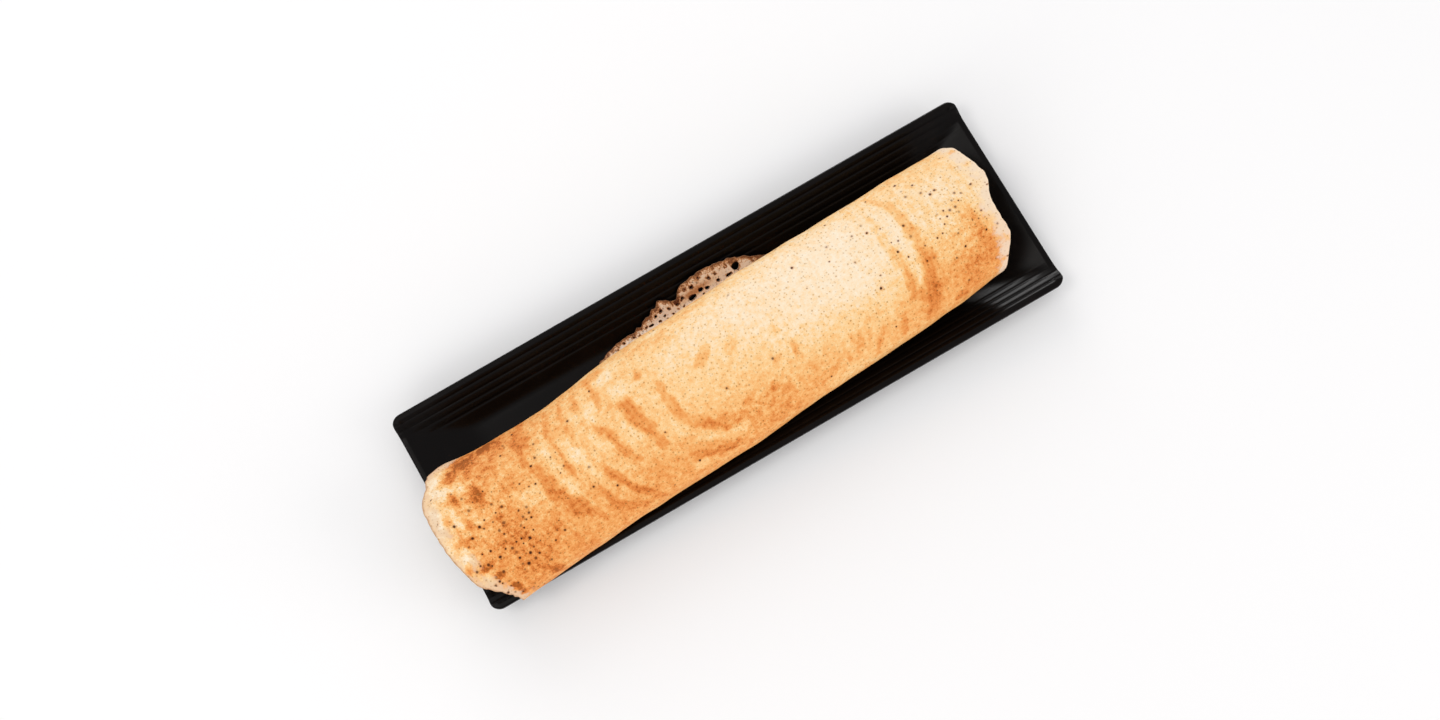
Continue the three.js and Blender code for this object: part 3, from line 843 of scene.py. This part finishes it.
# Holes of the lacy flap: place on the disc and half sizes, then how many small ones are scattered
# between two corners.
lace = {
    "holes": [
        (47, 181, 2.4, 2.1), (41.5, 178.6, 2, 0.8), (35, 180, 1, 0.95), (30, 183.5, 0.6, 0.6),
        (27, 179.8, 1.5, 0.85), (22.5, 180.4, 1.9, 1), (18.5, 184.5, 0.95, 0.8), (16, 180, 2.6, 1.3),
        (11, 182.8, 0.9, 0.75), (6.5, 182, 0.75, 0.7), (7, 178.9, 1.5, 0.9), (1, 182.5, 0.6, 0.6),
        (2, 179.5, 0.9, 0.7), (-4, 184, 1.1, 0.75), (-3, 180.2, 0.9, 0.7), (-8, 182.3, 1, 0.8),
        (-7.5, 179, 1, 0.7), (-13.5, 179, 1.9, 0.9), (-19, 180.6, 0.8, 0.6), (-24, 179, 1, 0.7),
        (-31, 179.4, 1.2, 0.75), (-37, 180.4, 1.6, 0.8), (-43, 178.5, 1, 0.7),
    ],
    # a brown band on the flap beside the roll, partly toasting and partly painted shadow of the roll: place,
    # reach along and across
    "toastAndRollShadow": (20, 182, 13, 2.6),
    "scattered": 110,
    "from": (-52, 175),
    "to": (42, 188),
    "smallest": 0.32,
    "largest": 0.62,
    "seed": 5,
    # half sizes that one more cell of the grid stands for, across the disc and along it
    "cellAcross": 0.8,
    "cellAlong": 1.3,
    "clearOfEdge": 2.4,
}


# the flat disc as a grid: the places of its points along the roll and across it
def discGrid():
    q = discColumns()
    p = np.linspace(-1, 1, crepe["stepsAlong"] + 1)
    p = p - crepe["crowding"] * np.sin(np.pi * p) / np.pi  # finer steps by the flap
    gridQ, gridP = np.meshgrid(q, p, indexing="ij")
    x = gridP * np.sqrt(1 - gridQ**2 / 2)
    y = gridQ * np.sqrt(1 - gridP**2 / 2)
    radius = discRadius(np.arctan2(y, x))
    return x * radius, y * radius


def laceHoles():
    holes = list(lace["holes"])
    chance = np.random.default_rng(lace["seed"])
    for _ in range(lace["scattered"] * 3):  # more than are wanted, because many don't fit
        size = chance.uniform(lace["smallest"], lace["largest"])
        holes.append((*chance.uniform(lace["from"], lace["to"]), size, size * chance.uniform(0.75, 1.2)))
    return holes


# Opens the holes in the grid and moves the points round each onto its rim. Gives back which cells
# are kept, and the way from each rim point to its hole's middle.
def cutHoles(u, v):
    rows, columns = u.shape
    kept = np.ones((rows - 1, columns - 1), bool)
    taken = np.zeros((rows, columns), bool)
    toMiddle = np.zeros((rows, columns, 2))
    made = 0
    for spotU, spotV, sizeU, sizeV in laceHoles():
        i, j = np.unravel_index(np.argmin(np.hypot(u - spotU, v - spotV)), u.shape)
        di = max(1, round(sizeV / lace["cellAcross"]))
        dj = max(1, round(sizeU / lace["cellAlong"]))
        if made >= len(lace["holes"]) + lace["scattered"] or i + di > rows - 3:
            continue
        middleU, middleV = u[i, j], v[i, j]
        wide = (slice(i - di - 1, i + di + 2), slice(j - dj - 1, j + dj + 2))
        room = discRadius(np.arctan2(middleV, middleU)) - lace["clearOfEdge"]
        if taken[wide].any() or np.hypot(middleU, middleV) > room:
            continue
        # the points round the block of cells are spread evenly round the hole
        block = (2 * di + 1, 2 * dj + 1)
        ring = rimOf(*block)
        ringI, ringJ = np.unravel_index(ring, block)
        at = (ringI + i - di, ringJ + j - dj)
        angle = np.arctan2((v[at] - middleV) / sizeV, (u[at] - middleU) / sizeU)
        even = -2 * np.pi * np.arange(len(ring)) / len(ring)
        angle = even + np.angle(np.exp(1j * (angle - even)).mean())
        uneven = 1 + 0.08 * np.sin(2 * angle + made) + 0.06 * np.sin(3 * angle + 2 * made)
        u[at] = middleU + sizeU * uneven * np.cos(angle)
        v[at] = middleV + sizeV * uneven * np.sin(angle)
        toMiddle[at] = np.stack([middleU - u[at], middleV - v[at]], -1)
        kept[i - di : i + di, j - dj : j + dj] = False
        taken[i - di : i + di + 1, j - dj : j + dj + 1] = True
        made += 1
    print("holes in the flap:", made)
    return kept, toMiddle


# a wall between the two faces wherever a kept cell meets a hole or the disc's edge
def crepeWalls(quads, count):
    edges = np.concatenate([quads[:, [k, (k + 1) % 4]] for k in range(4)])
    key = edges[:, 0].astype(np.int64) * count + edges[:, 1]
    back = edges[:, 1].astype(np.int64) * count + edges[:, 0]
    first, second = edges[~np.isin(key, back)].T
    return np.stack([second, first, first + count, second + count], 1)


# what the finishes read at each point of the outer face, the inner face and the filling
def dosaPaints(u, v, radius, toMiddle, plug):
    b, p = browning, patterns
    strokes, level = browningAt(u, v)
    angle = np.arctan2(v, u)
    fromMiddle = np.hypot(u, v)
    fromEdge = radius - fromMiddle
    rightEnd = np.exp(-((angle / b["rightEndSpread"]) ** 2))
    reach = b["edgeReach"] + (b["rightEdgeReach"] - b["edgeReach"]) * rightEnd
    pallor = b["edgePallor"] + b["rightEdgePallor"] * rightEnd
    outerRim = np.clip(1 - fromEdge / reach, 0, 1) * pallor
    innerRim = np.clip(1 - fromEdge / b["innerRimReach"], 0, 1)
    innerRim = np.where(toMiddle.any(-1), b["holeRim"], innerRim)
    sear = np.clip(1 - fromEdge / b["searReach"], 0, 1) * smoothStep(-u / b["searBlend"])
    pores, busy = poresAt(u, v), busyAt(u, v)
    toastAndRollShadow = falloff(u, v, *lace["toastAndRollShadow"])
    faces = {
        # the inner face's strokes values carry the band beside the roll, partly painted shadow
        "strokes": (strokes, toastAndRollShadow),
        "level": (level, level),
        "pores": (pores, pores),
        "busy": (busy, busy),
        "rim": (outerRim, innerRim),
        "sear": (sear, sear),
    }
    none = np.zeros(len(plug))
    paints = {name: np.concatenate([a.ravel(), b.ravel(), none]) for name, (a, b) in faces.items()}
    disc = np.stack([u, v, 0 * u], -1).reshape(-1, 3)
    depths = (0, 0, p["innerDepth"]), (0, 0, p["fillingDepth"])
    paints["discPlace"] = np.concatenate([disc, disc + depths[0], plug + depths[1]])
    turned = p["streakAround"] * np.cos(angle), p["streakAround"] * np.sin(angle)
    ring = np.stack([fromMiddle * p["streakAcross"], *turned], -1).reshape(-1, 3)
    paints["ringPlace"] = np.concatenate([ring, ring, plug * 0])
    return paints


# Where each face lies on the bake's square: the outer face at the upper left, the inner face at the
# upper right, the walls as thin strips by the outer face, and the filling below.
def bakeSpots(u, v, toMiddle, quads, walls, plugSpots):
    outerShare, innerShare = 0.62, 0.36
    count = u.size
    place = np.stack([u, v], -1)
    size = 2.08 * np.max(np.hypot(u, v))  # a little over the disc's diameter
    outer = place.reshape(-1, 2) / size * outerShare + (0.315, 0.685)
    inner = place.reshape(-1, 2) / size * innerShare + (0.815, 0.815)
    away = place / np.maximum(np.hypot(u, v), 1)[..., None] * 2.5
    away = np.where(toMiddle.any(-1, keepdims=True), toMiddle * 0.6, away).reshape(-1, 2)
    strip = outer + away / size * outerShare
    first, second, third, fourth = walls.T
    wallSpots = np.stack([outer[first], outer[second], strip[third - count], strip[fourth - count]], 1)
    parts = [outer[quads], inner[quads[:, ::-1]], wallSpots, plugSpots]
    return np.concatenate([part.reshape(-1, 2) for part in parts])


def makeDosa():
    u, v = discGrid()
    kept, toMiddle = cutHoles(u, v)
    radius = discRadius(np.arctan2(v, u))
    outer, inner = crepeFaces(u, v, radius)
    count = u.size
    quads = quadsOf(*u.shape)[kept.ravel()]
    walls = crepeWalls(quads, count)
    plug, plugFaces, plugSpots = fillingParts()

    points = np.concatenate([outer.reshape(-1, 3), inner.reshape(-1, 3), plug])
    used = np.zeros(len(points), bool)  # points inside the holes go
    used[quads.ravel()] = True
    used[quads.ravel() + count] = True
    used[2 * count :] = True
    number = np.cumsum(used) - 1
    faces = np.concatenate([quads, quads[:, ::-1] + count, walls]).tolist()
    faces += [[n + 2 * count for n in face] for face in plugFaces]
    faces = [[int(number[n]) for n in face] for face in faces]
    inside = np.arange(len(faces)) >= len(quads)  # all but the outer face wears the inside's finish

    points = points[used] + dishPlace
    piece = makePiece("dosaCrepe", points, faces, [crepeOutside(), crepeInside()], inside)
    spots = bakeSpots(u, v, toMiddle, quads, walls, plugSpots)
    piece.data.uv_layers.new(name="OFBake").data.foreach_set("uv", spots.astype(np.float32).ravel())
    for name, values in dosaPaints(u, v, radius, toMiddle, plug).items():
        paintOn(piece, name, values[used])
    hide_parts("dosa")
    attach(piece, "root")
    print("dosa made:", len(points), "points")


# a value at each point of a piece, which its finishes read by name
def paintOn(piece, name, values):
    kind, field = ("FLOAT_VECTOR", "vector") if values.ndim == 2 else ("FLOAT", "value")
    layer = piece.data.attributes.new(name, kind, "POINT")
    layer.data.foreach_set(field, np.ascontiguousarray(values, np.float32).ravel())


# one closed ring of the filled middle, half the crepe's thickness inside its outer turn
def fillingRing(u, share):
    angle = -np.pi + 2 * np.pi * np.arange(filling["around"] + 1) / filling["around"]
    inset = windingInset(angle) + crepe["thickness"] / 2
    ring = restingPoint(np.full(angle.shape, float(u)), angle, inset, 0)
    middle = rollPoint(np.float64(u), 0, 0)
    return middle + (ring - middle) * share


# the filling's points, its faces and their places on the bake's square
def fillingParts():
    half, dome, steps = filling["halfLength"], filling["domeLength"], filling["domeSteps"]
    curve = [np.pi / 2 * k / steps for k in range(1, steps)]
    rings = [(-half - dome * np.sin(t), np.cos(t)) for t in curve[::-1]]
    rings += [(half * (2 * i / (filling["stations"] - 1) - 1), 1.0) for i in range(filling["stations"])]
    rings += [(half + dome * np.sin(t), np.cos(t)) for t in curve]
    tips = [rollPoint(np.float64(u), 0, 0) for u in (-half - dome, half + dome)]
    points = np.concatenate([fillingRing(u, share) for u, share in rings] + [tips])
    leftTip, rightTip = len(points) - 2, len(points) - 1
    around, last = filling["around"] + 1, len(rings) - 1
    faces, spots = [], []
    for j in range(around):
        after = (j + 1) % around
        for i in range(last):
            a, b = i * around, (i + 1) * around
            faces.append([a + j, a + after, b + after, b + j])
            spots += [(i, j), (i, j + 1), (i + 1, j + 1), (i + 1, j)]
        faces.append([leftTip, after, j])
        faces.append([rightTip, last * around + j, last * around + after])
        spots += [(-1, j + 0.5), (0, j + 1), (0, j), (last + 1, j + 0.5), (last, j), (last, j + 1)]
    spots = (np.array(spots) + (1, 0)) / (len(rings) + 1, around) * (0.96, 0.3) + (0.02, 0.02)
    return points, faces, spots


# Lights: the way each one lies from the dish, its distance and size in metres, and its power.
studio = {
    "floorColour": (251, 251, 250),
    "floorTone": 0.985,
    "floorRoughness": 0.9,
    "floorShine": 0.2,
    "floorHalf": 2000.0,
    "floorBelow": 0.05,
    "floorLines": 9,
    "sky": (0.62, 0.62, 0.64, 1.0),
    "skyStrength": 1.12,
    "lights": [
        ("keyLight", (-0.36, 0.06, 0.90), 1.8, 0.6, 4.45, (255, 252, 248)),
        ("farLight", (0.05, 0.88, 0.47), 1.8, 1.4, 6.9, (255, 252, 249)),
        ("nearLeftLight", (-0.70, -0.58, 0.42), 1.8, 1.2, 5.3, (255, 252, 249)),
        ("nearRightLight", (0.70, -0.58, 0.42), 1.8, 1.2, 6.4, (255, 252, 249)),
    ],
    # a long low panel behind the dish that shows only as a sheen on the platter
    "panel": ("sheenPanel", (0.41, 0.91, 0.14), 2.0, 1.2, 22.0, (255, 255, 255)),
    "panelHeight": 0.4,
    "lens": 46.2,
    "sensorWidth": 36.0,
    "cameraPlace": (-0.06219, -0.17876, 1.0809),  # from the middle of the platter
    # the camera's own axes as columns, in the platter's directions
    "cameraTurn": (
        (0.86548537, 0.49825383, -0.05175126),
        (-0.49950844, 0.85061527, -0.16414924),
        (-0.03776757, 0.16791896, 0.98507707),
    ),
}


def makeFloor():
    f, s = Finish("paleFloor"), studio
    where = f.node("ShaderNodeTexCoord", None, None, "Object")
    pale = paint(*s["floorColour"])
    colour = f.blend(f.noise(where, 3.0), pale, scaled(pale, s["floorTone"]))
    material = f.surface(colour, s["floorRoughness"], s["floorShine"])
    count = s["floorLines"]
    lines = np.linspace(-s["floorHalf"], s["floorHalf"], count)
    x, y = np.meshgrid(lines, lines, indexing="ij")
    points = np.stack([x, y, 0 * x - s["floorBelow"]], -1).reshape(-1, 3)
    floor = makePiece("paleFloor", points, quadsOf(count, count).tolist(), [material])


def addLight(name, way, distance, size, power, colour):
    lamp = bpy.data.lights.new(name, "AREA")
    lamp.shape = "DISK"
    lamp.size = size
    lamp.energy = power
    lamp.color = paint(*colour)[:3]
    light = bpy.data.objects.new(name, lamp)
    bpy.context.collection.objects.link(light)
    light.location = Vector(way).normalized() * distance
    light.rotation_euler = Vector(way).to_track_quat("Z", "Y").to_euler()
    light.visible_camera = False
    return light


def makeLights():
    for values in studio["lights"]:
        addLight(*values)
    panel = addLight(*studio["panel"])
    panel.data.shape = "RECTANGLE"
    panel.data.size_y = studio["panelHeight"]
    panel.visible_diffuse = False

    world = bpy.data.worlds.new("paleRoom")
    world.use_nodes = True
    background = world.node_tree.nodes["Background"]
    background.inputs["Color"].default_value = studio["sky"]
    background.inputs["Strength"].default_value = studio["skyStrength"]
    bpy.context.scene.world = world
    bpy.context.scene.view_settings.view_transform = "Standard"


def makeCamera():
    camera = bpy.data.objects.new("camera", bpy.data.cameras.new("camera"))
    bpy.context.collection.objects.link(camera)
    camera.data.lens = studio["lens"]
    camera.data.sensor_width = studio["sensorWidth"]
    place = Vector(studio["cameraPlace"]) + Vector(dishPlace) * 0.001
    camera.matrix_world = Matrix.Translation(place) @ Matrix(studio["cameraTurn"]).to_4x4()
    bpy.context.scene.camera = camera


makePlatter()
makeDosa()
makeFloor()
makeLights()
makeCamera()
print("studio made")
